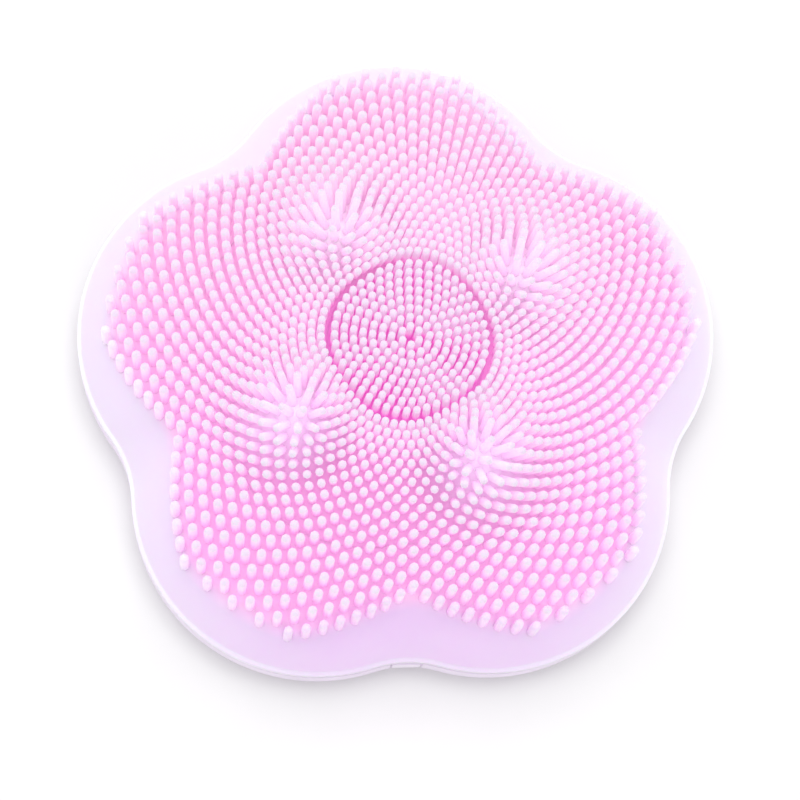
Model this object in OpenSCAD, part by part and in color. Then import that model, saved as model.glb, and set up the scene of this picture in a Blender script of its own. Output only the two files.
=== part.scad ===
// Five-petal facial cleansing brush: a soft bristled face over a turntable of four massage balls.
// The axis of the turntable is Z, the flat back lies on z = 0 and the charging port faces -Y.

/* [Flower outline] */
// Distance from the axis to a petal's tip, at the edge of the apron
petal_reach = 41.2; // [41:0.1:43]
// Distance from the axis to the bottom of a valley
valley_reach = 36.1; // [35.8:0.1:37.5]
// Radius of the hollow curve in a valley
valley_radius = 14; // [12:0.5:16]

/* [Rim and dome] */
// Height of the back shell's rim above the table
rim_z = 4.6; // [4.4:0.1:5]
// Height of the gasket that shows between the rim and the skirt
seal_h = 0.4; // [0.3:0.1:0.6]
// Width by which the rim stands out past the edge of the apron
lip_w = 0.6; // [0.4:0.05:0.8]
// Height where the skirt's steep wall turns into the apron
skirt_top_z = 6.8; // [6.4:0.1:7.4]
// Height of the skin at the middle of the dome
apex_z = 23.2; // [23:0.1:24]
// Drop of the whole half ellipse that the dome is part of
dome_drop = 21.2; // [20:0.1:23]
// Thickness of the skirt and apron
skin_t = 1.2; // [1:0.1:1.4]
// Thickness of the thin skin over the balls
membrane_t = 1; // [0.8:0.1:1]

/* [Bristles] */
// Length of a bristle
bristle_l = 5.7; // [4:0.1:6]
// Width of a bristle at its root
bristle_w = 1.1; // [0.8:0.1:1.2]
// Bristles in a ring of the outer field
bristles_per_ring = 30; // [30]
// Rings of bristles on the thin skin
membrane_rings = 6; // [5:1:6]
// Rings of bristles on the outer part of the face
outer_rings = 4; // [3:1:4]
// Rings of bristles on the centre disc
centre_rings = 3; // [2:1:3]

/* [Massage balls] */
// Radius of a ball
ball_r = 3.6; // [3.4:0.1:3.8]
// Distance of the bulges from the axis
bulge_track_r = 16.9; // [16.6:0.1:17.2]
// Turn of the first ball from +X
ball_angle = 31; // [0:1:89]
// Height of a bulge above the dome
bulge_h = 2.65; // [2.4:0.05:2.8]

/* [Drive] */
// Tooth size of the gears
gear_module = 0.6; // [0.6]
// Teeth on the turntable's gear
turntable_teeth = 40; // [40]
// Teeth on the large wheel of the idler
idler_teeth = 32; // [32]
// Teeth on the motor's pinion and on the small wheel of the idler
pinion_teeth = 10; // [10]
// Direction of the idler from the axis
idler_angle = 150; // [145:1:155]
// Direction of the motor from the idler
motor_angle = 60; // [55:1:62]

/* [Back] */
// Thickness of the back shell's floor
floor_t = 1.6; // [1.4:0.1:1.8]
// Radius of the power button
button_r = 5.95; // [5:0.05:6]
// Distance of the button from the axis, towards the port
button_y = 19; // [18:0.5:20]
// Travel of the power button
button_travel = 0.5; // [0.3:0.1:0.5]

/* [Hidden] */
$fn = 64;

// Colours of the real pieces
blush = [0.96, 0.62, 0.86];
lilac = [0.95, 0.85, 0.99];
milk = [0.95, 0.92, 0.97];
ivory = [0.93, 0.92, 0.9];
steel = [0.75, 0.76, 0.78];

// The outline: five petal arcs joined by five hollow arcs that touch them
petals = 5;
half_turn = 180 / petals;
valley_centre = valley_reach + valley_radius;
petal_radius = (pow(petal_reach, 2) - 2 * petal_reach * valley_centre * cos(half_turn)
    + pow(valley_centre, 2) - pow(valley_radius, 2))
    / (2 * (petal_reach - valley_centre * cos(half_turn) + valley_radius));
petal_centre = petal_reach - petal_radius;
mean_reach = (petal_reach + valley_reach) / 2 + 0.7;

// Angle from the nearest petal's middle
function from_petal(a) = abs(((a - 90 + half_turn + 720) % (2 * half_turn)) - half_turn);

// Angle where the petal arc of an outline drawn in by inset hands over to the valley arc
function handover(inset) =
    let(share = (petal_radius - inset) / (petal_radius + valley_radius))
    atan2(valley_centre * sin(half_turn) * share,
        petal_centre + (valley_centre * cos(half_turn) - petal_centre) * share);

// Reach of the outline in a direction
function reach(a, inset = 0) =
    let(f = from_petal(a), g = half_turn - f)
    f < handover(inset)
        ? petal_centre * cos(f) + sqrt(pow(petal_radius - inset, 2) - pow(petal_centre * sin(f), 2))
        : valley_centre * cos(g) - sqrt(pow(valley_radius + inset, 2) - pow(valley_centre * sin(g), 2));

outline_step = 2;
function outline(inset) =
    [for (a = [0:outline_step:360 - outline_step]) reach(a, inset) * [cos(a), sin(a)]];

// The dome: rows run from 0 on the axis to 1 at the skirt, round in the middle and petalled outside
skirt_z = rim_z + seal_h;
dome_edge = sqrt(1 - pow(1 - (apex_z - skirt_top_z) / dome_drop, 2));
function dome_r(row, a) = row * (mean_reach + (reach(a) - mean_reach) * row);
function dome_z(row) = apex_z - dome_drop * (1 - sqrt(1 - pow(dome_edge * row, 2)));
function dome_row(r) = r / mean_reach;

// Bulges: the skin lies on the crown of each ball and runs out from it like a tent. The dome slopes
// there, so the balls run a little nearer to the axis than the tops of the bulges.
skin_gap = 0.8;
crown_r = ball_r + skin_gap + membrane_t;
tent_start = 1.9;
tent_end = 12;
tent_power = 1.5;
tent_slope = bulge_h / ((tent_end - tent_start) / (tent_power + 1) + tent_start / 2);
function tent(d) = max(0, (tent_end - d) / (tent_end - tent_start));
function slope(d) = tent_slope * (d < tent_start ? d / tent_start : pow(tent(d), tent_power));
function rise(d) = d < tent_start
    ? bulge_h - tent_slope * d * d / tent_start / 2
    : tent_slope * (tent_end - tent_start) / (tent_power + 1) * pow(tent(d), tent_power + 1);
bulge_places = [for (k = [0:3]) let(a = ball_angle + 90 * k) bulge_track_r * [cos(a), sin(a)]];
function added(list) = list * [for (item = list) 1];
function bulged(p, z) = z + added([for (c = bulge_places) rise(norm(p - c))]);
function fall(row) = dome_drop * pow(dome_edge, 2) * row / sqrt(1 - pow(dome_edge * row, 2));
ball_lean = atan(fall(dome_row(bulge_track_r)) / mean_reach);
ball_track_r = bulge_track_r - crown_r * sin(ball_lean);
ball_z = dome_z(dome_row(bulge_track_r)) + bulge_h - crown_r * cos(ball_lean);

// Point of the face in a row and direction, sunk below the surface by depth
function face_point(row, a, depth) =
    let(way = unit([fall(row), mean_reach + 2 * (reach(a) - mean_reach) * row]),
        p = (dome_r(row, a) - depth * way[0]) * [cos(a), sin(a)])
    [p[0], p[1], bulged(p, dome_z(row) - depth * way[1])];

// Lean of a bristle: upright on the dome, and with most of the slope that a bulge gives the skin
lean_share = 0.65;
function lean_by(v) = norm(v) < 0.01 ? [0, 0] : lean_share * slope(norm(v)) * unit(v);
function bristle_way(p) =
    let(sum = [for (axis = [0, 1]) added([for (c = bulge_places) lean_by(p - c)[axis]])])
    unit([sum[0], sum[1], 1]);

function flat_list(lists) = [for (list = lists) for (item = list) item];
function halves(q) = [[q[0], q[1], q[2]], [q[0], q[2], q[3]]];
function unit(v) = v / norm(v);

// Corners of a bristle's root and tip in the middle of a cell of the skin
function bristle_corners(a, b, c, d) =
    let(middle = (a + b + c + d) / 4,
        across = unit(b + c - a - d),
        along = unit(c + d - a - b),
        wide = min(bristle_w, 0.75 * norm(b + c - a - d) / 2) / 2,
        deep = min(bristle_w, 0.75 * norm(c + d - a - b) / 2) / 2,
        tip = middle + bristle_l * bristle_way([middle[0], middle[1]]),
        spread = [[-1, -1], [1, -1], [1, 1], [-1, 1]])
    concat([for (s = spread) middle + s[0] * wide * across + s[1] * deep * along],
        [for (s = spread) tip + 0.7 * (s[0] * wide * across + s[1] * deep * along)]);

// A skin between two grids of points, with a bristle on every second cell of its first rings.
// outer and inner are lists of rings from the inside out, and closed fills the middle.
module bristled_skin(outer, inner, rings, closed = false) {
    columns = len(outer[0]);
    last = len(outer) - 1;
    last_in = len(inner) - 1;
    inner_start = len(outer) * columns;
    root_start = inner_start + len(inner) * columns;
    top_point = root_start + rings * columns * 4;
    function has_bristle(i, j) = i < rings && (i + j) % 2 == 0;
    function up(i, j) = i * columns + j % columns;
    function low(i, j) = inner_start + i * columns + j % columns;
    function root(i, j, k) = root_start + (i * columns / 2 + floor(j / 2)) * 8 + k % 4;
    function cell(i, j) = [up(i, j), up(i, j + 1), up(i + 1, j + 1), up(i + 1, j)];
    function bristle_cell(i, j) =
        let(corner = cell(i, j))
        flat_list(concat(
            [for (k = [0:3]) halves([corner[k], corner[(k + 1) % 4], root(i, j, k + 1), root(i, j, k)])],
            [for (k = [0:3]) halves([root(i, j, k), root(i, j, k + 1), root(i, j, k + 1) + 4,
                root(i, j, k) + 4])],
            [halves([for (k = [0:3]) root(i, j, k) + 4])]));
    bristles = flat_list([for (i = [0:1:rings - 1]) for (j = [0:columns - 1]) if (has_bristle(i, j))
        bristle_corners(outer[i][j], outer[i][(j + 1) % columns], outer[i + 1][(j + 1) % columns],
            outer[i + 1][j])]);
    middles = closed ? [added_points(outer[0]) / columns, added_points(inner[0]) / columns] : [];
    faces = flat_list(concat(
        [for (i = [0:last - 1]) for (j = [0:columns - 1])
            has_bristle(i, j) ? bristle_cell(i, j) : halves(cell(i, j))],
        [for (i = [0:last_in - 1]) for (j = [0:columns - 1])
            halves([low(i, j), low(i + 1, j), low(i + 1, j + 1), low(i, j + 1)])],
        [for (j = [0:columns - 1])
            halves([up(last, j), up(last, j + 1), low(last_in, j + 1), low(last_in, j)])],
        [for (j = [0:columns - 1]) closed
            ? [[top_point, up(0, j + 1), up(0, j)], [top_point + 1, low(0, j), low(0, j + 1)]]
            : halves([up(0, j + 1), up(0, j), low(0, j), low(0, j + 1)])]));
    polyhedron(concat(flat_list(outer), flat_list(inner), bristles, middles), faces, convexity = 10);
}
function added_points(points) = [for (axis = [0:2]) added([for (p = points) p[axis]])];

// Rings of points on the face
skin_columns = 2 * bristles_per_ring;
function ring(row, depth, columns = skin_columns) =
    [for (j = [0:columns - 1]) face_point(row, 360 * j / columns, depth)];
function foot_ring(inset, z) =
    [for (j = [0:skin_columns - 1]) let(a = 360 * j / skin_columns)
        [reach(a, inset) * cos(a), reach(a, inset) * sin(a), z]];
function rows(from, to, count) = [for (i = [0:count]) from + (to - from) * i / count];

// Rows where the parts of the face meet
centre_row = 0.25;
membrane_row = 0.64;
field_row = 0.89;
apron_rows = [0.93, 0.965, 0.99, 1];
inner_rows = [membrane_row, 0.77, field_row, 0.965, 1];
lip_drop = 0.6;

module silicone_face() {
    color(lilac)
    bristled_skin(
        concat([for (row = rows(membrane_row, field_row, outer_rings)) ring(row, 0)],
            [for (row = apron_rows) ring(row, 0)],
            [foot_ring(-0.8 * lip_w, skirt_top_z - lip_drop), foot_ring(-lip_w, skirt_z)]),
        concat([for (row = inner_rows) ring(row, skin_t)], [foot_ring(skin_t, skirt_z)]),
        outer_rings);
}

module massage_membrane() {
    membrane_rows = rows(centre_row, membrane_row, membrane_rings);
    color(blush)
    bristled_skin([for (row = membrane_rows) ring(row, 0)],
        [for (row = membrane_rows) ring(row, membrane_t)], membrane_rings);
}

module centre_bristles() {
    bare_row = 0.06;
    color(blush)
    bristled_skin(
        [for (row = rows(bare_row, centre_row, centre_rings)) ring(row, 0, bristles_per_ring)],
        [for (row = [bare_row, centre_row]) ring(row, membrane_t, bristles_per_ring)],
        centre_rings, true);
}

// Rigid dome that the outer part of the face is stretched over
frame_gap = 0.1;
frame_t = 1.5;
boss_r = 2.6;
boss_place_r = 31;
boss_foot_z = 5.1;
boss_top_z = 12.6;
module at_petals() {
    for (k = [0:petals - 1]) rotate(90 + 72 * k) translate([boss_place_r, 0, 0]) children();
}
module face_frame() {
    frame_rows = [membrane_row + 0.02, 0.78, 0.9, 0.96, 1];
    top = skin_t + frame_gap;
    color(ivory)
    difference() {
        union() {
            bristled_skin(
                concat([for (row = frame_rows) ring(row, top)], [foot_ring(top, skirt_z)]),
                concat([for (row = frame_rows) ring(row, top + frame_t)],
                    [foot_ring(top + frame_t, skirt_z)]),
                0);
            at_petals() translate([0, 0, boss_foot_z])
                cylinder(r = boss_r, h = boss_top_z - boss_foot_z, $fn = 12);
        }
        at_petals() translate([0, 0, boss_foot_z - 1])
            cylinder(r = screw_core_r, h = case_screw_end_z - boss_foot_z + 1.5, $fn = 12);
    }
}

module rim_seal() {
    seal_step = 0.15;
    color(milk)
    translate([0, 0, rim_z]) linear_extrude(seal_h) difference() {
        polygon(outline(seal_step - lip_w));
        polygon(outline(ledge_w));
    }
}

// Back shell: flat floor, flared foot, upright rim as wide as the lip, and the posts that stand on the floor
wall_t = 1.8;
ledge_w = 2.8;
ledge_h = 0.9;
foot_h = 0.5;
flare_h = 0.8;
foot_scale = 0.975;
case_post_r = 3.2;
case_post_z = 5;
head_seat_z = 3.4;
plug_hole_r = 2.1;
screw_core_r = 0.95;
screw_free_r = 1.15;
chassis_posts = [[-20, -6], [16, -16], [8, 26.5]];
board_posts = [[-11.5, -13], [6.5, -29.5]];
post_r = 2.4;
pilot_r = 0.7;
port_z = 3.2;
port_w = 3.8;
port_foot_z = 1.65;
module outline_slab(inset, z0, z1) {
    translate([0, 0, z0]) linear_extrude(z1 - z0) polygon(outline(inset));
}
module back_shell() {
    color(lilac)
    difference() {
        union() {
            difference() {
                union() {
                    linear_extrude(2 * foot_h) scale(foot_scale) polygon(outline(-lip_w));
                    translate([0, 0, foot_h])
                        linear_extrude(flare_h, scale = 0.997 / foot_scale)
                        scale(foot_scale) polygon(outline(-lip_w));
                    outline_slab(-lip_w, foot_h + flare_h - 0.1, rim_z);
                }
                outline_slab(wall_t, floor_t, rim_z - ledge_h);
                outline_slab(ledge_w, rim_z - ledge_h - 0.5, rim_z + 1);
            }
            at_petals() translate([0, 0, foot_h]) cylinder(r = case_post_r, h = case_post_z - foot_h);
            for (p = chassis_posts)
                translate([p[0], p[1], foot_h]) cylinder(r = post_r, h = chassis_z - foot_h);
            for (p = board_posts)
                translate([p[0], p[1], foot_h]) cylinder(r = post_r - 0.5, h = board_z - foot_h);
            battery_fence();
        }
        at_petals() {
            translate([0, 0, -1]) cylinder(r = plug_hole_r, h = head_seat_z + 1);
            cylinder(r = screw_free_r, h = case_post_z + 1);
        }
        for (p = chassis_posts) translate([p[0], p[1], chassis_z - 6]) cylinder(r = pilot_r, h = 7);
        for (p = board_posts) translate([p[0], p[1], floor_t + 0.4]) cylinder(r = pilot_r, h = 5);
        translate([0, -button_y, -1]) cylinder(r = button_r + 0.25, h = floor_t + 2);
        translate([0, -window_y, -1]) cylinder(r = window_r, h = floor_t + 2);
        translate([-port_w / 2, -valley_reach - 2, port_foot_z]) cube([port_w, 5, rim_z]);
        port_grooves();
    }
}
// Upright grooves in the rim at the two ends of the port's plug
module port_grooves() {
    groove_w = 0.3;
    for (side = [-1, 1])
        translate([side * port_w / 2, -valley_reach - lip_w - 0.1, -1]) rotate(45)
            translate([-groove_w / 2, -groove_w / 2, 0]) cube([groove_w, groove_w, rim_z + 2]);
}
module battery_fence() {
    rail_t = 1;
    rail_h = 3.4;
    for (side = [-1, 1])
        translate([battery_x, battery_y, foot_h + rail_h / 2])
            translate([0, side * (battery_size[1] / 2 + 0.3 + rail_t / 2), 0])
            cube([battery_size[0] - 6, rail_t, rail_h], center = true);
}

module screw_plugs() {
    sunk = 0.05;
    color(milk)
    at_petals() translate([0, 0, sunk]) cylinder(r = plug_hole_r, h = head_seat_z - screw_head_h - sunk);
}

// Screws: a round head with a hexagon socket on a plain shank, head down where down is set
screw_head_h = 1.1;
case_screw_end_z = 9;
module screw(head_r, head_h, shank_r, shank_l) {
    difference() {
        union() {
            cylinder(r = head_r, h = head_h);
            translate([0, 0, -shank_l]) cylinder(r = shank_r, h = shank_l);
        }
        translate([0, 0, head_h * 0.4]) cylinder(r = head_r * 0.5, h = head_h, $fn = 6);
    }
}
module case_screws() {
    color(steel)
    at_petals() translate([0, 0, head_seat_z]) mirror([0, 0, 1])
        screw(1.9, screw_head_h, 1, case_screw_end_z - head_seat_z);
}

// Chassis: the plate that carries the drive, with ears on three posts
chassis_z = 9.4;
chassis_t = 1.4;
chassis_r = 22;
chassis_top = chassis_z + chassis_t;
post_hub_r = 4.5;
post_foot_z = 7.5;
post_r_axle = 2;
idler_place = gear_module * (turntable_teeth + pinion_teeth) / 2 * [cos(idler_angle), sin(idler_angle)];
motor_place = idler_place
    + gear_module * (idler_teeth + pinion_teeth) / 2 * [cos(motor_angle), sin(motor_angle)];
module chassis() {
    color(ivory)
    difference() {
        union() {
            translate([0, 0, chassis_z]) linear_extrude(chassis_t) difference() {
                union() {
                    circle(r = chassis_r);
                    for (p = chassis_posts) {
                        translate(p) circle(r = post_r + 1);
                        rotate(atan2(p[1], p[0])) translate([0, -post_r - 1])
                            square([norm(p), 2 * post_r + 2]);
                    }
                    translate(motor_place) circle(r = motor_r);
                }
                for (a = [-60, -25]) rotate(a) translate([14, 0]) circle(r = 4);
                translate(motor_place) circle(r = motor_nose_r + 0.1);
            }
            translate([0, 0, post_foot_z]) cylinder(r = post_hub_r, h = chassis_z - post_foot_z);
        }
        translate([0, 0, post_foot_z - 1]) cylinder(r = post_r_axle, h = 10);
        translate([idler_place[0], idler_place[1], chassis_z - 1]) cylinder(r = idler_pin_r, h = 4);
        for (p = chassis_posts) translate([p[0], p[1], chassis_z - 1]) cylinder(r = 1, h = 4);
        at_motor_screws() translate([0, 0, chassis_z - 1]) cylinder(r = 0.85, h = 4);
    }
}
module chassis_screws() {
    color(steel)
    for (p = chassis_posts) translate([p[0], p[1], chassis_top]) screw(1.7, 1, pilot_r, 5);
}

// What the turntable turns on
post_top_z = 19.4;
clip_z = 16.8;
clip_h = 0.5;
clip_groove_r = 1.6;
module centre_post() {
    color(steel)
    difference() {
        translate([0, 0, post_foot_z]) cylinder(r = post_r_axle, h = post_top_z - post_foot_z);
        translate([0, 0, clip_z]) difference() {
            cylinder(r = post_r_axle + 1, h = clip_h);
            translate([0, 0, -1]) cylinder(r = clip_groove_r, h = clip_h + 2);
        }
    }
}
washer_h = 0.35;
module thrust_washer() {
    color("goldenrod")
    translate([0, 0, chassis_top]) difference() {
        cylinder(r = 4, h = washer_h);
        translate([0, 0, -1]) cylinder(r = post_r_axle, h = washer_h + 2);
    }
}
module retaining_clip() {
    color(steel)
    translate([0, 0, clip_z]) difference() {
        cylinder(r = 3.6, h = clip_h);
        translate([0, 0, -1]) cylinder(r = clip_groove_r, h = clip_h + 2);
        translate([0, -clip_groove_r * 0.9, -1]) cube([5, clip_groove_r * 1.8, clip_h + 2]);
    }
}

// Mushroom cap that holds the middle of the skin while the balls pass round it
cap_r = 9.2;
cap_foot_z = 17.6;
module centre_cap() {
    under_skin = membrane_t + 0.12;
    brim_z = dome_z(dome_row(cap_r)) - under_skin - 1.2;
    color(ivory)
    rotate_extrude() polygon(concat(
        [[0, post_top_z], [post_r_axle, post_top_z], [post_r_axle, cap_foot_z], [3.2, cap_foot_z],
            [3.2, brim_z - 1.2], [cap_r, brim_z]],
        [for (r = [cap_r:-1.15:-0.01]) [max(r, 0), dome_z(dome_row(max(r, 0))) - under_skin]]));
}

// Turntable with a cup for each ball
turntable_z = 13.7;
turntable_t = 1.8;
turntable_r = 22.8;
turntable_hub_r = 4.5;
bush_r = 3.2;
bush_z = 11.2;
bush_top_z = 16.6;
cup_r = ball_r + 1.3;
cup_top_z = 17.4;
cup_gap = 0.06;
module at_balls() {
    for (k = [0:3]) rotate(ball_angle + 90 * k) translate([ball_track_r, 0, 0]) children();
}
module turntable() {
    color(ivory)
    difference() {
        union() {
            translate([0, 0, turntable_z]) cylinder(r = turntable_r, h = turntable_t);
            translate([0, 0, bush_z + 0.4]) cylinder(r = turntable_hub_r, h = bush_top_z - bush_z - 0.4);
            at_balls() translate([0, 0, turntable_z]) cylinder(r = cup_r, h = cup_top_z - turntable_z);
        }
        translate([0, 0, bush_z - 1]) cylinder(r = bush_r, h = 10);
        at_balls() translate([0, 0, ball_z]) sphere(r = ball_r + cup_gap);
        rotate(45) at_balls() translate([0, 0, turntable_z - 1]) cylinder(r = 3.6, h = 10);
    }
}
module turntable_bush() {
    color("goldenrod")
    translate([0, 0, bush_z]) difference() {
        cylinder(r = bush_r, h = bush_top_z - bush_z);
        translate([0, 0, -1]) cylinder(r = post_r_axle + 0.03, h = 10);
    }
}
module massage_ball(k) {
    color(steel)
    rotate(ball_angle + 90 * k) translate([ball_track_r, 0, ball_z]) sphere(r = ball_r);
}

// Gears: involute teeth, shortened so that ten teeth need no undercut
pressure_angle = 25;
addendum = 0.8 * gear_module;
dedendum = 1.1 * gear_module;
backlash = 0.16;
function involute(base_r, r) = let(a = acos(min(1, base_r / r))) tan(a) * 180 / PI - a;
function gear_outline(teeth) =
    let(pitch_r = gear_module * teeth / 2,
        base_r = pitch_r * cos(pressure_angle),
        root_r = pitch_r - dedendum,
        tip_r = pitch_r + addendum,
        start_r = max(base_r, root_r),
        half = 90 / teeth - backlash / 2 / pitch_r * 90 / PI + involute(base_r, pitch_r),
        flank = concat([[root_r, half - involute(base_r, start_r)]],
            [for (i = [0:3]) let(r = start_r + (tip_r - start_r) * i / 3) [r, half - involute(base_r, r)]]),
        tooth = concat([for (p = flank) [p[0], -p[1]]], [for (i = [len(flank) - 1:-1:0]) flank[i]]))
    [for (k = [0:teeth - 1]) for (p = tooth) let(a = 360 * k / teeth + p[1]) p[0] * [cos(a), sin(a)]];
module gear(teeth, turn, z, h) {
    rotate(turn) translate([0, 0, z]) linear_extrude(h) polygon(gear_outline(teeth));
}
// Turn of a wheel that puts its gap on the tooth of the wheel before it
function meshed(turn, teeth, way, next_teeth) =
    way + 180 - (turn - way) * teeth / next_teeth - 180 / next_teeth;
idler_small_turn = meshed(0, turntable_teeth, idler_angle, pinion_teeth);
pinion_turn = meshed(0, idler_teeth, motor_angle, pinion_teeth);
low_gear_z = 11.1;
low_gear_h = 1.1;
high_gear_z = 12.3;
module turntable_gear() {
    color(milk)
    difference() {
        gear(turntable_teeth, 0, high_gear_z, turntable_z - high_gear_z);
        translate([0, 0, high_gear_z - 1]) cylinder(r = turntable_hub_r, h = 5);
    }
}
idler_pin_r = 1;
idler_top_z = turntable_z - 0.35;
module idler_pin() {
    color(steel)
    translate([idler_place[0], idler_place[1], chassis_z])
        cylinder(r = idler_pin_r, h = idler_top_z - chassis_z);
}
module idler_gear() {
    color(milk)
    translate([idler_place[0], idler_place[1], 0]) difference() {
        union() {
            gear(idler_teeth, 0, low_gear_z, low_gear_h);
            gear(pinion_teeth, idler_small_turn, low_gear_z + 0.5, idler_top_z - low_gear_z - 0.5);
        }
        translate([0, 0, low_gear_z - 1]) cylinder(r = idler_pin_r + 0.03, h = 5);
    }
}

// Flat motor under the chassis, its nose in the plate and its shaft through it
motor_r = 10;
motor_z = 2.3;
motor_nose_r = 2;
motor_nose_h = 1;
shaft_r = 0.75;
module at_motor() {
    translate([motor_place[0], motor_place[1], 0]) children();
}
module at_motor_screws() {
    at_motor() for (side = [-1, 1]) rotate(motor_angle + 90) translate([side * 6, 0, 0]) children();
}
module motor() {
    color(steel)
    difference() {
        at_motor() {
            translate([0, 0, motor_z]) cylinder(r = motor_r, h = chassis_z - motor_z);
            translate([0, 0, chassis_z]) cylinder(r = motor_nose_r, h = motor_nose_h);
        }
        at_motor() translate([0, 0, motor_z + 1.5]) cylinder(r = shaft_r + 0.05, h = 12);
        at_motor_screws() translate([0, 0, chassis_z - 1.6]) cylinder(r = pilot_r, h = 3);
    }
}
module motor_shaft() {
    color(steel)
    at_motor() translate([0, 0, motor_z + 2])
        cylinder(r = shaft_r, h = low_gear_z + low_gear_h - motor_z - 2);
}
module pinion() {
    color(milk)
    at_motor() difference() {
        gear(pinion_teeth, pinion_turn, low_gear_z, low_gear_h);
        translate([0, 0, low_gear_z - 1]) cylinder(r = shaft_r, h = 5);
    }
}
module motor_screws() {
    color(steel)
    at_motor_screws() translate([0, 0, chassis_top]) screw(1.4, 0.8, pilot_r, chassis_t + 1.4);
}

// Pouch cell on a strip of tape
battery_size = [20.5, 30, 5];
battery_x = 14.6;
battery_y = 7;
tape_t = 0.2;
module battery_tape() {
    color("khaki")
    translate([battery_x, battery_y, floor_t + tape_t / 2])
        cube([battery_size[0] - 5, battery_size[1] - 6, tape_t], center = true);
}
module battery() {
    corner_r = 1.5;
    color("lightsteelblue")
    translate([battery_x, battery_y, floor_t + tape_t]) linear_extrude(battery_size[2])
        rounded(battery_size[0], battery_size[1], corner_r);
}
module rounded(w, d, r) {
    for (x = [-1, 1], y = [-1, 1]) translate([x * (w / 2 - r), y * (d / 2 - r)]) circle(r = r);
    square([w, d - 2 * r], center = true);
    square([w - 2 * r, d], center = true);
}

// Wires: eight-sided tubes swept along hand-laid points
wire_r = 0.5;
module wire(points) {
    sides = 8;
    count = len(points);
    function way(i) = unit(points[min(i + 1, count - 1)] - points[max(i - 1, 0)]);
    function wire_ring(i) =
        let(n = way(i),
            u = unit(cross(abs(n[2]) > 0.9 ? [1, 0, 0] : [0, 0, 1], n)),
            v = cross(n, u))
        [for (k = [0:sides - 1]) points[i] + wire_r * (cos(360 * k / sides) * u + sin(360 * k / sides) * v)];
    function at(i, k) = i * sides + k % sides;
    polyhedron(flat_list([for (i = [0:count - 1]) wire_ring(i)]), flat_list(concat(
        [for (i = [0:count - 2]) for (k = [0:sides - 1])
            halves([at(i, k), at(i + 1, k), at(i + 1, k + 1), at(i, k + 1)])],
        [[[for (k = [0:sides - 1]) at(0, k)], [for (k = [sides - 1:-1:0]) at(count - 1, k)]]])));
}
battery_end_y = battery_y - battery_size[1] / 2;
module battery_leads() {
    lie_z = board_top + wire_r;
    color("firebrick")
    for (x = [5.6, 7.4])
        wire([[x, battery_end_y, 6], [x, battery_end_y - 0.8, 6], [x, battery_end_y - 1.6, 7.2],
            [x, battery_end_y - 2.8, 7.4], [x, -12.2, lie_z], [x, -13.4, lie_z]]);
}
function motor_side(a, d, z) =
    [motor_place[0] + d * cos(a), motor_place[1] + d * sin(a), z];
module motor_leads() {
    lie_z = board_top + wire_r;
    color("navy") {
        wire([motor_side(200, motor_r, 4), motor_side(200, motor_r + 2, 4), [-19.4, 9, 4.3],
            [-17, 1, 5.4], [-13, -6, 6.8], [-9.4, -10, 7.2], [-8.6, -12.6, lie_z], [-8.6, -13.8, lie_z]]);
        wire([motor_side(200, motor_r, 5.4), motor_side(200, motor_r + 2, 5.4), [-19.4, 9, 5.7],
            [-17, 1, 6.8], [-12.6, -6, 8], [-8, -10, 8], [-7, -12.6, lie_z], [-7, -13.8, lie_z]]);
    }
}

// Circuit board over the button, with the charging jack under its front edge
board_z = 5.4;
board_t = 1;
board_top = board_z + board_t;
board_w = 22;
board_d = 21.5;
board_x = -2.5;
board_y = -21.3;
module circuit_board() {
    color("seagreen")
    difference() {
        translate([board_x, board_y, board_z]) linear_extrude(board_t) rounded(board_w, board_d, 1);
        for (p = board_posts) translate([p[0], p[1], board_z - 1]) cylinder(r = 0.8, h = 4);
    }
}
module board_parts() {
    color([0.15, 0.15, 0.17]) {
        translate([-6, -21, board_top]) cube([5, 5, 1]);
        translate([-8, -27.5, board_top]) cube([3, 2.5, 1.1]);
        translate([1, -25, board_top]) cube([2.5, 3, 1]);
        translate([2, -19, board_top]) cube([3, 3, 1.6]);
    }
}
module board_screws() {
    color(steel)
    for (p = board_posts) translate([p[0], p[1], board_top]) screw(1.4, 0.8, pilot_r, 3);
}
switch_h = 1.5;
plunger_h = 0.3;
module tact_switch() {
    color([0.2, 0.2, 0.22])
    translate([0, -button_y, board_z - switch_h]) {
        translate([-2.6, -2.6, 0]) cube([5.2, 5.2, switch_h]);
        translate([0, 0, -plunger_h]) cylinder(r = 1.3, h = plunger_h);
    }
}
window_y = 27.9;
window_r = 1.2;
module status_led() {
    color("white")
    translate([-0.8, -window_y - 0.6, board_z - 0.8]) cube([1.6, 1.2, 0.8]);
}
module light_window() {
    color("whitesmoke")
    translate([0, -window_y, 0]) {
        translate([0, 0, 0.05]) cylinder(r = window_r, h = floor_t - 0.05);
        translate([0, 0, floor_t]) cylinder(r = window_r + 0.3, h = 0.6);
    }
}
jack_r = 1.5;
jack_bore_r = 1.1;
jack_l = 3.4;
jack_mouth_y = -valley_reach + wall_t + 1.2;
module charging_jack() {
    color([0.25, 0.25, 0.27])
    difference() {
        union() {
            translate([0, jack_mouth_y, port_z]) rotate([-90, 0, 0]) cylinder(r = jack_r, h = jack_l);
            translate([-1.8, jack_mouth_y + 1.2, port_z - jack_r])
                cube([3.6, jack_l - 1.2, board_z - port_z + jack_r]);
        }
        translate([0, jack_mouth_y - 1, port_z]) rotate([-90, 0, 0])
            cylinder(r = jack_bore_r, h = jack_l + 0.4);
    }
}

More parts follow.
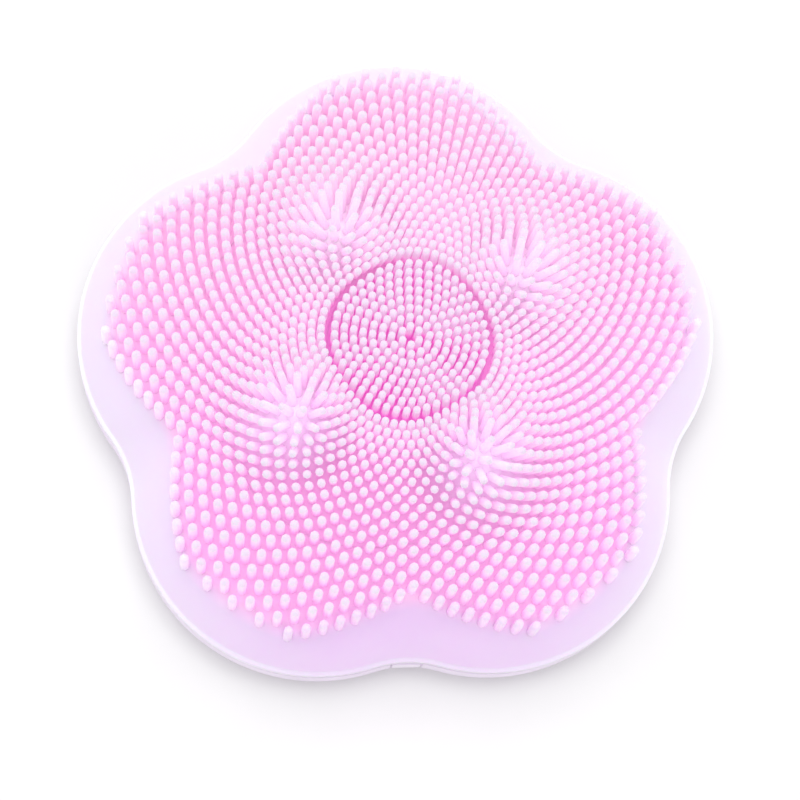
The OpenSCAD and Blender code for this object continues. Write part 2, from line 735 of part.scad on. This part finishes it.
// Power button: a cap in the floor's hole with a flange inside and a nib under the switch
button_face_z = 0.35;
flange_r = button_r + 1.1;
flange_z = floor_t + 0.05;
flange_h = 0.9;
nib_top_z = board_z - switch_h - plunger_h - button_travel - 0.05;
seal_ring_z = 0.95;
seal_ring_r = 0.3;
module power_button() {
    color(milk)
    translate([0, -button_y, 0]) difference() {
        union() {
            translate([0, 0, button_face_z]) cylinder(r = button_r, h = flange_z - button_face_z);
            translate([0, 0, flange_z]) cylinder(r = flange_r, h = flange_h);
            translate([0, 0, flange_z + flange_h]) cylinder(r = 1.5, h = nib_top_z - flange_z - flange_h);
        }
        translate([0, 0, seal_ring_z - seal_ring_r]) difference() {
            cylinder(r = button_r + 1, h = 2 * seal_ring_r);
            cylinder(r = button_r - 2 * seal_ring_r + 0.2, h = 2 * seal_ring_r);
        }
        translate([0, 0, button_face_z - 15.6]) sphere(r = 16);
    }
}
module button_seal() {
    color([0.3, 0.3, 0.32])
    translate([0, -button_y, seal_ring_z]) rotate_extrude()
        translate([button_r - seal_ring_r + 0.2, 0]) circle(r = seal_ring_r);
}

// Soft plug in the port: a straight-faced head in the rim and a stem in the jack
plug_gap = 0.08;
plug_proud = 0.15;
plug_head_l = 1.9;
plug_stem_l = 5.5;
module port_plug() {
    plug_w = port_w - 2 * plug_gap;
    color(milk)
    difference() {
        translate([0, -valley_reach, port_z]) {
            translate([-plug_w / 2, -lip_w - plug_proud, port_foot_z + plug_gap - port_z])
                cube([plug_w, plug_head_l + lip_w + plug_proud, rim_z - port_foot_z - 2 * plug_gap]);
            rotate([-90, 0, 0]) cylinder(r = jack_bore_r - 0.08, h = plug_stem_l);
        }
        port_grooves();
    }
}

silicone_face();
massage_membrane();
centre_bristles();
face_frame();
rim_seal();
back_shell();
screw_plugs();
case_screws();
chassis();
chassis_screws();
centre_post();
thrust_washer();
retaining_clip();
centre_cap();
turntable();
turntable_gear();
turntable_bush();
massage_ball(0);  // massage_ball_1
massage_ball(1);  // massage_ball_2
massage_ball(2);  // massage_ball_3
massage_ball(3);  // massage_ball_4
idler_pin();
idler_gear();
motor();
motor_shaft();
pinion();
motor_screws();
battery();
battery_tape();
battery_leads();
motor_leads();
circuit_board();
board_parts();
board_screws();
tact_switch();
status_led();
charging_jack();
light_window();
power_button();
button_seal();
port_plug();
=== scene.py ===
import math

import bmesh
import bpy
from mathutils import Matrix, Vector


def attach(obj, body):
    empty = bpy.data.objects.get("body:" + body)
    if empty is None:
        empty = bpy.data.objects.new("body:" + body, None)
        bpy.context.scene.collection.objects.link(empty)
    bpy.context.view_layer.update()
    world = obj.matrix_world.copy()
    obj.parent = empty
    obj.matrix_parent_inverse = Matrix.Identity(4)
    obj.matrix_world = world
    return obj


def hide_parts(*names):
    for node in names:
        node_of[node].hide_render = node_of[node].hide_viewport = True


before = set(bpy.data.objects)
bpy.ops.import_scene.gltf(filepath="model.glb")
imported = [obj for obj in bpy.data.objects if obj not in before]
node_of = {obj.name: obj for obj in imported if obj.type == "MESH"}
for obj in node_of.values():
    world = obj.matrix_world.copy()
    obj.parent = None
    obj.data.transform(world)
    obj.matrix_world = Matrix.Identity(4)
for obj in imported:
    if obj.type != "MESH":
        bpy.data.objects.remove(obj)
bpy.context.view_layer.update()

# Back shell: the lower half of the case, injection moulded in pale lilac plastic with a fine satin
# texture. Everything else is screwed or pressed into it, and its flat face rests on the table.
rough_swing, dent_depth = 0.06, 0.0002


def noise(tree, scale, detail):
    place = tree.nodes.new("ShaderNodeTexCoord")
    cloud = tree.nodes.new("ShaderNodeTexNoise")
    cloud.inputs["Scale"].default_value = scale
    cloud.inputs["Detail"].default_value = detail
    tree.links.new(place.outputs["Object"], cloud.inputs["Vector"])
    return cloud.outputs["Fac"]


# A stop is a position and a colour, or a plain number for a grey.
def ramp(tree, factor, *stops):
    node = tree.nodes.new("ShaderNodeValToRGB")
    elements = node.color_ramp.elements
    while len(elements) < len(stops):
        elements.new(0.5)
    for element, (position, colour) in zip(elements, stops):
        element.position = position
        element.color = (*colour, 1) if isinstance(colour, tuple) else (colour, colour, colour, 1)
    tree.links.new(factor, node.inputs["Fac"])
    return node.outputs["Color"]


def mapped(tree, factor, low, high, start=0.0, end=1.0):
    node = tree.nodes.new("ShaderNodeMapRange")
    for socket, value in (("From Min", start), ("From Max", end), ("To Min", low), ("To Max", high)):
        node.inputs[socket].default_value = value
    tree.links.new(factor, node.inputs["Value"])
    return node.outputs["Result"]


def moulded(name, colour, rough=0.42, mottle=0.05, grain=1800.0, dent=0.06, blotch=140.0, **sockets):
    material = bpy.data.materials.new(name)
    material.use_nodes = True
    tree = material.node_tree
    shader = tree.nodes["Principled BSDF"]
    cloud = noise(tree, scale=blotch, detail=3.0)
    dark = tuple(part * (1 - mottle) for part in colour)
    light = tuple(min(1, part * (1 + mottle)) for part in colour)
    tree.links.new(ramp(tree, cloud, (0.3, dark), (0.7, light)), shader.inputs["Base Color"])
    gloss = mapped(tree, cloud, rough - rough_swing, rough + rough_swing)
    tree.links.new(gloss, shader.inputs["Roughness"])
    bump = tree.nodes.new("ShaderNodeBump")
    bump.inputs["Strength"].default_value = dent
    bump.inputs["Distance"].default_value = dent_depth
    tree.links.new(noise(tree, scale=grain, detail=2.0), bump.inputs["Height"])
    tree.links.new(bump.outputs["Normal"], shader.inputs["Normal"])
    for socket, value in sockets.items():
        shader.inputs[socket.replace("_", " ")].default_value = value
    return material


def dress(material, *nodes):
    for node in nodes:
        for slot in node_of[node].material_slots:
            slot.material = material


lilac_shell = moulded("lilac_shell", (0.91, 0.81, 0.96), rough=0.38, mottle=0.02, dent=0.04)
dress(lilac_shell, "back_shell")

# Battery: a foil pouch cell held to the floor by a strip of foam tape between two rails, with a red
# pair of leads soldered to the board.
cell_foil = moulded("cell_foil", (0.62, 0.66, 0.72), rough=0.3, mottle=0.08, blotch=90.0, Metallic=0.8)
foam_tape = moulded("foam_tape", (0.78, 0.70, 0.42), rough=0.9, grain=3000.0, dent=0.4)
red_insulation = moulded("red_insulation", (0.55, 0.03, 0.03), rough=0.35)
dress(cell_foil, "battery")
dress(foam_tape, "battery_tape")
dress(red_insulation, "battery_leads")

# Circuit board: green solder mask on glass fibre, screwed to two posts, with black chips, the tact
# switch, a clear light and the charging jack soldered to its under side.
solder_mask = moulded("solder_mask", (0.02, 0.20, 0.08), rough=0.3, mottle=0.25, blotch=700.0)
chip_resin = moulded("chip_resin", (0.02, 0.02, 0.022), rough=0.5, grain=4000.0)
jack_nylon = moulded("jack_nylon", (0.03, 0.03, 0.033), rough=0.4)
light_lens = moulded("light_lens", (0.92, 0.93, 0.95), rough=0.2, mottle=0.02)
dress(solder_mask, "circuit_board")
dress(chip_resin, "board_parts", "tact_switch")
dress(jack_nylon, "charging_jack")
dress(light_lens, "status_led")

# Motor and drive: a flat can motor under the chassis, whose pinion turns a stepped idler and the
# ring gear of the turntable. Wheels are natural acetal and run on steel pins and a bronze bush.
can_steel = moulded("can_steel", (0.62, 0.63, 0.65), rough=0.32, mottle=0.1, blotch=60.0, Metallic=1.0)
pin_steel = moulded("pin_steel", (0.70, 0.71, 0.73), rough=0.22, mottle=0.06, Metallic=1.0)
acetal = moulded("acetal", (0.88, 0.86, 0.80), rough=0.36, mottle=0.03)
bush_bronze = moulded("bush_bronze", (0.50, 0.30, 0.13), rough=0.45, mottle=0.2, grain=5000.0, dent=0.3,
                      Metallic=1.0)
blue_insulation = moulded("blue_insulation", (0.03, 0.05, 0.30), rough=0.35)
dress(can_steel, "motor")
dress(pin_steel, "motor_shaft", "idler_pin", "centre_post", "retaining_clip")
dress(acetal, "pinion", "idler_gear", "turntable_gear")
dress(bush_bronze, "turntable_bush", "thrust_washer")
dress(blue_insulation, "motor_leads")

# Screws: zinc-plated steel with hexagon sockets. They hold the motor and the board, the chassis in
# the case, and the two halves of the case to each other.
zinc_plate = moulded("zinc_plate", (0.72, 0.72, 0.70), rough=0.28, mottle=0.12, blotch=900.0, Metallic=1.0)
dress(zinc_plate, "motor_screws", "board_screws", "chassis_screws", "case_screws")

# Chassis, turntable, centre cap and face frame: ivory engineering plastic, moulded with a dull
# texture because nobody sees them once the case is shut.
ivory_plastic = moulded("ivory_plastic", (0.80, 0.78, 0.72), rough=0.55, mottle=0.05, dent=0.15)
dress(ivory_plastic, "chassis", "turntable", "centre_cap", "face_frame")

# Massage balls: four polished steel bearing balls, loose in the cups of the turntable, which push the
# skin up from below and roll as the turntable carries them round.
balls = 4
ball_steel = moulded("ball_steel", (0.80, 0.81, 0.83), rough=0.09, mottle=0.03, dent=0.01, Metallic=1.0)
dress(ball_steel, *(f"massage_ball_{number + 1}" for number in range(balls)))

# Rim seal: a die-cut silicone gasket, a little darker than the halves of the case that press on it,
# whose edge shows as the fine parting line round the flower.
milk_rubber = moulded("milk_rubber", (0.80, 0.68, 0.88), rough=0.5, mottle=0.03)
dress(milk_rubber, "rim_seal")

# Back fittings: five soft plugs over the case screws, the dished power button with its o-ring, and
# the frosted window of the charging light.
plug_rubber = moulded("plug_rubber", (0.84, 0.72, 0.92), rough=0.55, mottle=0.04)
button_rubber = moulded("button_rubber", (0.93, 0.86, 0.96), rough=0.5, mottle=0.03, dent=0.12)
ring_rubber = moulded("ring_rubber", (0.03, 0.03, 0.035), rough=0.6)
frosted_window = moulded("frosted_window", (0.92, 0.92, 0.94), rough=0.35, mottle=0.02,
                         Transmission_Weight=0.5)
dress(plug_rubber, "screw_plugs")
dress(button_rubber, "power_button")
dress(ring_rubber, "button_seal")
dress(frosted_window, "light_window")

# Port plug: a soft moulded stopper with a straight face, which closes the charging port in the front
# valley of the shell and is pulled straight out to charge the cell.
stopper_rubber = moulded("stopper_rubber", (0.93, 0.85, 0.97), rough=0.5, mottle=0.03)
dress(stopper_rubber, "port_plug")

# Outer face: the soft silicone moulding that wraps the rim, with a smooth lilac apron and the outer
# rings of bristles. The outline is five petal arcs joined by hollow arcs, and the skin a flat dome.
# Sizes are in millimetres, and mm turns a finished point into metres.
mm, merge_gap = 0.001, 1e-5
petals, petal_reach, valley_reach, valley_radius = 5, 41.2, 36.1, 14.0
fullness = 0.7
mean_reach = (petal_reach + valley_reach) / 2 + fullness
valley_centre = valley_reach + valley_radius
half_turn = math.pi / petals
petal_radius = ((petal_reach ** 2 - 2 * petal_reach * valley_centre * math.cos(half_turn)
                 + valley_centre ** 2 - valley_radius ** 2)
                / (2 * (petal_reach - valley_centre * math.cos(half_turn) + valley_radius)))
petal_centre = petal_reach - petal_radius
# The two arcs touch on the line between their centres, and handover is the angle of that point.
touch = petal_radius / (petal_radius + valley_radius)
handover = math.atan2(valley_centre * math.sin(half_turn) * touch,
                      petal_centre + (valley_centre * math.cos(half_turn) - petal_centre) * touch)
apex_z, dome_drop, skirt_top_z, skin_t = 23.2, 21.2, 6.8, 1.0
dome_edge = math.sqrt(1 - (1 - (apex_z - skirt_top_z) / dome_drop) ** 2)
centre_row, membrane_row = 0.25, 0.64


def share(value):
    return min(1.0, max(0.0, value))


# How far the outline is from the axis: on a petal's arc near its middle, else on a valley's.
def reach(angle):
    off_petal = abs((angle - math.pi / 2 + half_turn) % (2 * half_turn) - half_turn)
    off_valley = half_turn - off_petal
    if off_petal < handover:
        aside = petal_centre * math.sin(off_petal)
        return petal_centre * math.cos(off_petal) + math.sqrt(petal_radius ** 2 - aside ** 2)
    aside = valley_centre * math.sin(off_valley)
    return valley_centre * math.cos(off_valley) - math.sqrt(valley_radius ** 2 - aside ** 2)


# A row runs round the axis. Row 1 is the outline, and the rows inside it get rounder towards the axis.
def row_at(radius, angle):
    spread = reach(angle) - mean_reach
    return 2 * radius / (mean_reach + math.sqrt(mean_reach ** 2 + 4 * spread * radius))


def angle_of(spot):
    return math.atan2(spot.y, spot.x)


def row_of(spot):
    return row_at(spot.length, angle_of(spot))


# Four bulges: the skin lies on a ball's crown and runs out from it like a tent.
bulge_track, bulge_turn, bulge_h = 16.9, 31.0, 2.65
tent_start, tent_end, tent_power = 1.9, 12.0, 1.5
tent_slope = bulge_h / ((tent_end - tent_start) / (tent_power + 1) + tent_start / 2)
bulges = [Vector((bulge_track * math.cos(angle), bulge_track * math.sin(angle)))
          for angle in (math.radians(bulge_turn + 360 / balls * number) for number in range(balls))]


def tent(away):
    return max(0.0, (tent_end - away) / (tent_end - tent_start))


def slope(away):
    return tent_slope * (away / tent_start if away < tent_start else tent(away) ** tent_power)


def rise(away):
    if away < tent_start:
        return bulge_h - tent_slope * away * away / tent_start / 2
    return tent_slope * (tent_end - tent_start) / (tent_power + 1) * tent(away) ** (tent_power + 1)


def skin_z(spot):
    dome = apex_z - dome_drop * (1 - math.sqrt(1 - (dome_edge * min(row_of(spot), 1)) ** 2))
    return dome + sum(rise((spot - crown).length) for crown in bulges)


# How pink the silicone is painted: most in the middle and in the groove round it, less outside, and paler
# over a ball, where the bristles fan out. The pink is partly the silicone's own and partly painted shade.
groove_row, groove_fade, groove_pink = 0.24, 0.06, 0.4
field_pink, pink_fall = 0.46, 0.18
bulge_pale_r, bulge_pale_fade = 1.5, 6.5


def blush_at(spot):
    outward = row_of(spot) - groove_row
    pink = 1.0
    if outward >= 0:
        pink = field_pink - pink_fall * outward + groove_pink * max(0.0, 1 - outward / groove_fade)
    for crown in bulges:
        pink *= share(((spot - crown).length - bulge_pale_r) / bulge_pale_fade)
    return pink


# The bristle field ends in a flower of its own, with deeper valleys than the outline's.
field_mean, field_swing, field_most = 0.9, 0.055, 0.92


def field_row(angle):
    return min(field_most, field_mean + field_swing * math.cos(petals * (angle - math.pi / 2)))


# How closely the bristles stand about a spot: fully in the field, less on a bulge, where they fan
# out, and not at all on the apron.
field_margin, field_fade = 0.01, 0.05
fan_crowd, fan_r = 0.85, 9.0


def crowd_at(spot):
    close = share((field_row(angle_of(spot)) - row_of(spot) + field_margin) / field_fade)
    for crown in bulges:
        close *= min(1.0, max(fan_crowd, (spot - crown).length / fan_r))
    return close


# Painted light: how much paler the lilac is painted, hardly at all in the front valley, and more the
# further a spot is from it.
painted_light_start, painted_light_run = 8, 32


def painted_light_at(spot):
    return share((math.hypot(spot.x, spot.y + valley_reach) - painted_light_start) / painted_light_run)


def spun(points, sides):
    shape = bmesh.new()
    chain = [shape.verts.new(point) for point in points]
    links = [shape.edges.new(pair) for pair in zip(chain, chain[1:])]
    bmesh.ops.spin(shape, geom=chain + links, axis=(0, 0, 1), cent=(0, 0, 0), angle=2 * math.pi,
                   steps=sides, use_merge=True)
    bmesh.ops.remove_doubles(shape, verts=shape.verts, dist=merge_gap)
    return shape


def even_rows(first, last, count):
    return [first + (last - first) * number / count for number in range(count + 1)]


# A skin is spun flat, with its rows as radii, and then laid on the dome. A lip is turned down outside
# row 1, painted paler than the apron and given a painted glow. Every point keeps what the silicone's
# colour needs.
traits = ("height", "blush", "crowd", "pale", "painted_glow")
lip_line, apron_pale, lip_painted_glow = -0.1, 0.55, 0.5


def spun_skin(rows, sides, lip=()):
    skin = spun([(row, 0, 0) for row in rows] + [(1 + out, 0, -down) for out, down in lip], sides)
    height, blush, crowd, pale, painted_glow = [skin.verts.layers.float.new(trait) for trait in traits]
    for point in skin.verts:
        row, angle = math.hypot(point.co.x, point.co.y), angle_of(point.co)
        way, inner = Vector((math.cos(angle), math.sin(angle))), min(row, 1)
        spot = way * inner * (mean_reach + (reach(angle) - mean_reach) * inner)
        edge = spot + way * (row - inner)
        on_lip, painted_light = point.co.z < lip_line, painted_light_at(spot)
        point.co = Vector((edge.x, edge.y, skin_z(spot) + point.co.z)) * mm
        point[height] = 0
        point[blush] = blush_at(spot)
        point[crowd] = crowd_at(spot)
        # Painted light: the lip and the apron are painted paler away from the front valley, and the lip
        # gets a painted glow; among the bristles the painted glow follows the crowd.
        point[pale] = apron_pale + (1 - apron_pale) * painted_light if on_lip else apron_pale * painted_light
        point[painted_glow] = lip_painted_glow * painted_light if on_lip else point[crowd]
    bmesh.ops.recalc_face_normals(skin, faces=skin.faces)
    if sum(face.normal.z for face in skin.faces) < 0:
        bmesh.ops.reverse_faces(skin, faces=skin.faces)
    bmesh.ops.solidify(skin, geom=skin.faces[:], thickness=skin_t * mm)
    return skin


# One bristle: round, a little thicker at the root, with a domed tip. It stands upright on the dome,
# leans out a little round the turntable, which lifts the skin, and follows the slope of a bulge. The
# profile is in shares of its thickness and length, and its closed root is sunk in the skin.
bristle_profile = ((0.0, -0.04), (1.06, -0.04), (1.0, 0.1), (0.96, 0.55), (0.93, 0.9), (0.7, 0.965),
                   (0.0, 1.0))
bristle_sides = 8
bristle_l, longer_by, longer_from, longer_run = 5.4, 0.5, 22, 8
bristle_r, thicker_by, thicker_from, thicker_run, thicker_power = 0.495, 0.125, 8, 20, 1.4
lift_from, lift_run, lift_lean = 10.8, 23, 4.32
centre_r, centre_spread = 9.8, 0.02
bulge_lean = 0.65
strand = spun([(radius, 0, up) for radius, up in bristle_profile], bristle_sides)
bmesh.ops.recalc_face_normals(strand, faces=strand.faces)
one_bristle = bpy.data.meshes.new("one_bristle")
strand.to_mesh(one_bristle)
strand.free()

# In the pink middle only the foot of a bristle is pink, so its points count as higher than they are.
# The outermost bristles stand free, and get more painted glow where the skin about them gets more painted
# light.
pink_line, pink_lift, pink_most = 0.5, 1.6, 0.85
edge_share, edge_painted_glow = 0.995, 0.6


def add_bristle(skin, spot):
    height, blush, crowd, pale, painted_glow = [skin.verts.layers.float[trait] for trait in traits]
    start = len(skin.verts)
    skin.from_mesh(one_bristle)
    skin.verts.ensure_lookup_table()
    lifted = share((spot.length - lift_from) / lift_run)
    out = spot.normalized() * lift_lean * lifted * (1 - lifted) ** 2
    if spot.length < centre_r:
        out = spot * centre_spread
    thick = bristle_r + thicker_by * share((spot.length - thicker_from) / thicker_run) ** thicker_power
    long = bristle_l + longer_by * share((spot.length - longer_from) / longer_run)
    lean = out / long
    for crown in bulges:
        away = spot + out - crown
        lean += away.normalized() * slope(away.length) * bulge_lean
    turn = Vector((0, 0, 1)).rotation_difference(Vector((lean.x, lean.y, 1))).to_matrix()
    root = Vector((spot.x, spot.y, skin_z(spot)))
    pink, close, painted_light = blush_at(spot), crowd_at(spot * edge_share), painted_light_at(spot)
    for point in skin.verts[start:]:
        up = point.co.z
        point[height] = max(up, 0, min(pink_most, pink_lift * up) if pink > pink_line else 0)
        point[blush] = pink
        point[crowd] = close
        # Painted light: a free edge bristle gets a painted glow and is painted paler, more so away from
        # the front valley.
        point[pale] = painted_light
        point[painted_glow] = close + (1 - close) * edge_painted_glow * painted_light
        point.co = (root + turn @ Vector((point.co.x * thick, point.co.y * thick, up * long))) * mm


def settle(shape, name):
    for face in shape.faces:
        face.smooth = True
    mesh = bpy.data.meshes.new(name)
    shape.to_mesh(mesh)
    shape.free()
    piece = bpy.data.objects.new(name, mesh)
    bpy.context.scene.collection.objects.link(piece)
    return piece


def attribute(tree, name):
    node = tree.nodes.new("ShaderNodeAttribute")
    node.attribute_name = name
    return node.outputs["Fac"]


# A Mix node's colours are its sockets 6 and 7, and come out of socket 2.
def mixed(tree, first, second, factor, blend="MIX"):
    mix = tree.nodes.new("ShaderNodeMix")
    mix.data_type = "RGBA"
    mix.blend_type = blend
    for socket, value in ((mix.inputs[0], factor), (mix.inputs[6], first), (mix.inputs[7], second)):
        if isinstance(value, bpy.types.NodeSocket):
            tree.links.new(value, socket)
        else:
            socket.default_value = (*value, 1) if isinstance(value, tuple) else value
    return mix.outputs[2]


def product(tree, first, second):
    node = tree.nodes.new("ShaderNodeMath")
    node.operation = "MULTIPLY"
    tree.links.new(first, node.inputs[0])
    tree.links.new(second, node.inputs[1])
    return node.outputs[0]


# The silicone is translucent, and the pink light that comes out between the bristles is painted: a painted
# glow at their feet, and feet painted a deeper pink, partly the silicone's own and partly painted shade.
# The tips are painted darker with a painted glow, so they look milky. Towards the back the feet are
# painted darker and warmer, a painted shade, and the bare apron is lilac with a soft sheen.
silicone = bpy.data.materials.new("blush_silicone")
silicone.use_nodes = True
tree = silicone.node_tree
shader = tree.nodes["Principled BSDF"]
tallness, pinkness = attribute(tree, "height"), attribute(tree, "blush")
closeness, painted_paleness = attribute(tree, "crowd"), attribute(tree, "pale")
cloud = noise(tree, scale=160.0, detail=3.0)
apron_colour = mixed(tree, (0.845, 0.60, 0.955), (0.885, 0.665, 0.975), cloud)
# Painted light: the apron is painted paler and greyer where the painted light is strong, away from the
# front valley.
apron_colour = mixed(tree, apron_colour, (0.84, 0.80, 0.92), painted_paleness)
# The feet are painted a deeper, darker pink: partly the silicone's own pink, partly painted shade between
# the bristles.
foot_colour = ramp(tree, pinkness, (0.0, (0.88, 0.70, 0.88)), (0.45, (0.87, 0.51, 0.785)),
                   (1.0, (0.85, 0.23, 0.70)))
# Painted shade: towards the back the feet are painted darker and warmer, for how the light falls there.
back_shade_from, back_shade_to = -0.010, 0.025
place = tree.nodes.new("ShaderNodeTexCoord")
axes = tree.nodes.new("ShaderNodeSeparateXYZ")
tree.links.new(place.outputs["Object"], axes.inputs["Vector"])
backward = mapped(tree, axes.outputs["Y"], low=0.0, high=1.0, start=back_shade_from, end=back_shade_to)
back_painted_shade = ramp(tree, backward, (0.0, 1.0), (1.0, (0.94, 0.94, 0.90)))
foot_colour = mixed(tree, foot_colour, back_painted_shade, 1.0, blend="MULTIPLY")
# Painted shade: the tips are painted darker, and the painted glow lifts them again, which flattens the
# light from above.
stem_colour = ramp(tree, tallness, (0.55, (0.86, 0.72, 0.82)), (0.9, (0.81, 0.69, 0.80)),
                   (0.965, (0.67, 0.59, 0.70)), (1.0, (0.58, 0.52, 0.62)))
depth = ramp(tree, tallness, (0.0, 1.0), (0.2, 0.95), (0.45, 0.6), (0.7, 0.2), (1.0, 0.0))
covered = ramp(tree, closeness, (0.0, 0.0), (0.85, 1.0))
bristle_colour = mixed(tree, stem_colour, foot_colour, depth)
surface = mixed(tree, apron_colour, bristle_colour, covered)
# Painted glow: an emission in the surface colour, strongest at the feet among crowded bristles, stands in
# for light coming through the silicone.
painted_glow_by_height = ramp(tree, tallness, (0.0, 0.20), (0.3, 0.27), (0.6, 0.27), (0.9, 0.2), (1.0, 0.22))
painted_glow_strength = product(tree, painted_glow_by_height, attribute(tree, "painted_glow"))
gloss = mapped(tree, cloud, low=0.4, high=0.52)
apron_sheen = ramp(tree, closeness, (0.0, 0.8), (0.6, 0.0))
tree.links.new(surface, shader.inputs["Base Color"])
tree.links.new(surface, shader.inputs["Emission Color"])
tree.links.new(painted_glow_strength, shader.inputs["Emission Strength"])
tree.links.new(gloss, shader.inputs["Roughness"])
tree.links.new(apron_sheen, shader.inputs["Sheen Weight"])
shader.inputs["Sheen Roughness"].default_value = 0.4
shader.inputs["Subsurface Weight"].default_value = 0.4
shader.inputs["Subsurface Radius"].default_value = (1.0, 0.5, 0.85)
shader.inputs["Subsurface Scale"].default_value = 0.0012

# The lattice: rings of sixty about the axis, every other ring turned by half a step. The lip's points
# are how far out and down they lie from the edge of the dome.
skin_sides, apron_rows = 240, 36
lip = ((0.1, 0.3), (0.25, 0.4), (0.45, 0.5), (0.56, 0.64), (0.6, 0.9), (0.6, 1.8))
rings, per_ring, first_ring_r, ring_pitch = 27, 60, 10.82, 1.01
outer = spun_skin(even_rows(membrane_row, 1, apron_rows), skin_sides, lip)
membrane_spots = []
for ring in range(rings):
    ring_r = first_ring_r + ring_pitch * ring
    for number in range(per_ring):
        angle = math.radians(360 / per_ring * (number + ring % 2 / 2))
        spot = Vector((ring_r * math.cos(angle), ring_r * math.sin(angle)))
        row = row_at(ring_r, angle)
        if row < membrane_row:
            membrane_spots.append(spot)
        elif row < field_row(angle):
            add_bristle(outer, spot)
outer_face = settle(outer, "outer_face")
outer_face.data.materials.append(silicone)
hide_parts("silicone_face")
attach(outer_face, "housing")

# Ball membrane: the thin ring of the same silicone moulding over the turntable, pushed up in four
# bulges by the balls under it. It carries the inner part of the same lattice of bristles.
membrane_rows = 44
membrane = spun_skin(even_rows(centre_row, membrane_row, membrane_rows), skin_sides)
for spot in membrane_spots:
    add_bristle(membrane, spot)
ball_membrane = settle(membrane, "ball_membrane")
ball_membrane.data.materials.append(silicone)
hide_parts("massage_membrane")
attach(ball_membrane, "housing")

# Centre disc: the round middle of the moulding, held still by the cap under it. Its eight rings have
# six, twelve, then twenty bristles and five more each time, and a bare groove divides it from the
# membrane.
centre_sides, centre_rows = 120, 14
centre_rings, centre_pitch = 8, 1.128
centre = spun_skin(even_rows(0, centre_row, centre_rows), centre_sides)
for ring in range(1, centre_rings + 1):
    count = 6 * ring if ring < 3 else 5 * ring + 5
    for number in range(count):
        angle = math.pi / 2 + 2 * math.pi * number / count
        add_bristle(centre, Vector((math.cos(angle), math.sin(angle))) * centre_pitch * ring)
centre_disc = settle(centre, "centre_disc")
centre_disc.data.materials.append(silicone)
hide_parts("centre_bristles")
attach(centre_disc, "housing")

# Studio: a white table top and a white surround, lit by four large soft panels: one above and a
# little behind, one at each side and one in front. Places and sizes are in metres.
table_half, surround_power, panel_size = 3.0, 0.70, 0.5
table_white = moulded("table_white", (0.82, 0.82, 0.82), rough=0.7, mottle=0.005, dent=0.0)
table = bmesh.new()
bmesh.ops.create_grid(table, x_segments=1, y_segments=1, size=table_half)
floor = settle(table, "table_top")
floor.data.materials.append(table_white)
world = bpy.data.worlds.new("white_surround")
bpy.context.scene.world = world
world.use_nodes = True
surround = world.node_tree.nodes["Background"]
surround.inputs["Color"].default_value = (1, 1, 1, 1)
surround.inputs["Strength"].default_value = surround_power


def soft_panel(name, place, power):
    light = bpy.data.lights.new(name, "AREA")
    light.size = panel_size
    light.energy = power
    panel = bpy.data.objects.new(name, light)
    panel.location = place
    panel.rotation_euler = (-Vector(place)).to_track_quat("-Z", "Y").to_euler()
    bpy.context.scene.collection.objects.link(panel)


soft_panel("sky_panel", (-0.03, 0.2, 0.64), 2.3)
soft_panel("left_panel", (-0.6, 0.08, 0.26), 0.45)
soft_panel("right_panel", (0.6, 0.08, 0.26), 0.4)
soft_panel("fill_panel", (0.12, -0.55, 0.4), 0.7)

# Camera: a long lens high in front of the port and a little to the left, rolled as the photograph is.
# It is aimed so that the target, a point on the brush's axis, falls on the picture's point aim_px.
azimuth, elevation, roll = math.radians(-17.45), math.radians(75.55), math.radians(16.2)
picture_px, focal_px, metres_per_px = 800, 2713.0, 0.00012
aim_px = (410.9, 334.9)
sensor_mm = 36.0
target = Vector((0, 0, 0.02793))
back = Vector((math.sin(azimuth) * math.cos(elevation), -math.cos(azimuth) * math.cos(elevation),
               math.sin(elevation)))
lens = bpy.data.cameras.new("studio_camera")
lens.sensor_width = sensor_mm
lens.lens = sensor_mm * focal_px / picture_px
lens.clip_start, lens.clip_end = 0.01, 20.0
camera = bpy.data.objects.new("studio_camera", lens)
bpy.context.scene.collection.objects.link(camera)
level = (-back).to_track_quat("-Z", "Y").to_matrix()
rolled = level @ Matrix.Rotation(roll, 3, "Z")
seen = Vector(((aim_px[0] - picture_px / 2) / focal_px, (picture_px / 2 - aim_px[1]) / focal_px, -1))
aimed = rolled @ seen.normalized().rotation_difference(Vector((0, 0, -1))).to_matrix()
camera.matrix_world = Matrix.Translation(target + back * focal_px * metres_per_px) @ aimed.to_4x4()
bpy.context.scene.camera = camera
bpy.context.scene.view_settings.view_transform = "Standard"
